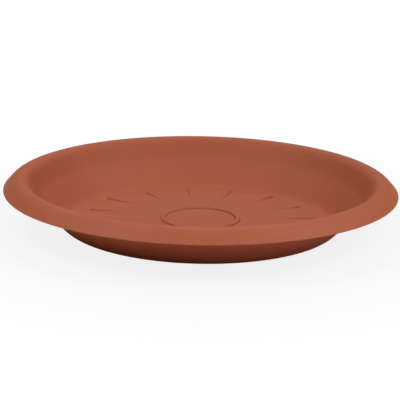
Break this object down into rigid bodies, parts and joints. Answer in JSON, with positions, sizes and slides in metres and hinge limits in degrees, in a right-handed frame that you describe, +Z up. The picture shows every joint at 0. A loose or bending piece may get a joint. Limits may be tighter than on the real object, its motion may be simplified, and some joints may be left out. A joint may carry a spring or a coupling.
{
  "type": "plant saucer",
  "caption": "Round shallow plastic plant saucer with a rolled rim, sloping wall, crowned floor and low radial ribs round a centre ring.",
  "frame": {"origin": "on the saucer's axis, in the plane of the foot ring that it stands on", "axes": "+Z up along the axis, out of the open side; +X towards the viewer's right and +Y away from the viewer in the picture"},
  "size_m": [0.4, 0.4, 0.0508],
  "materials": {
    "terracotta_plastic": "matte, finely grained, moulded in one terracotta colour"
  },
  "bodies": {
    "root": {"saucer": "terracotta_plastic"}
  },
  "joints": []
}
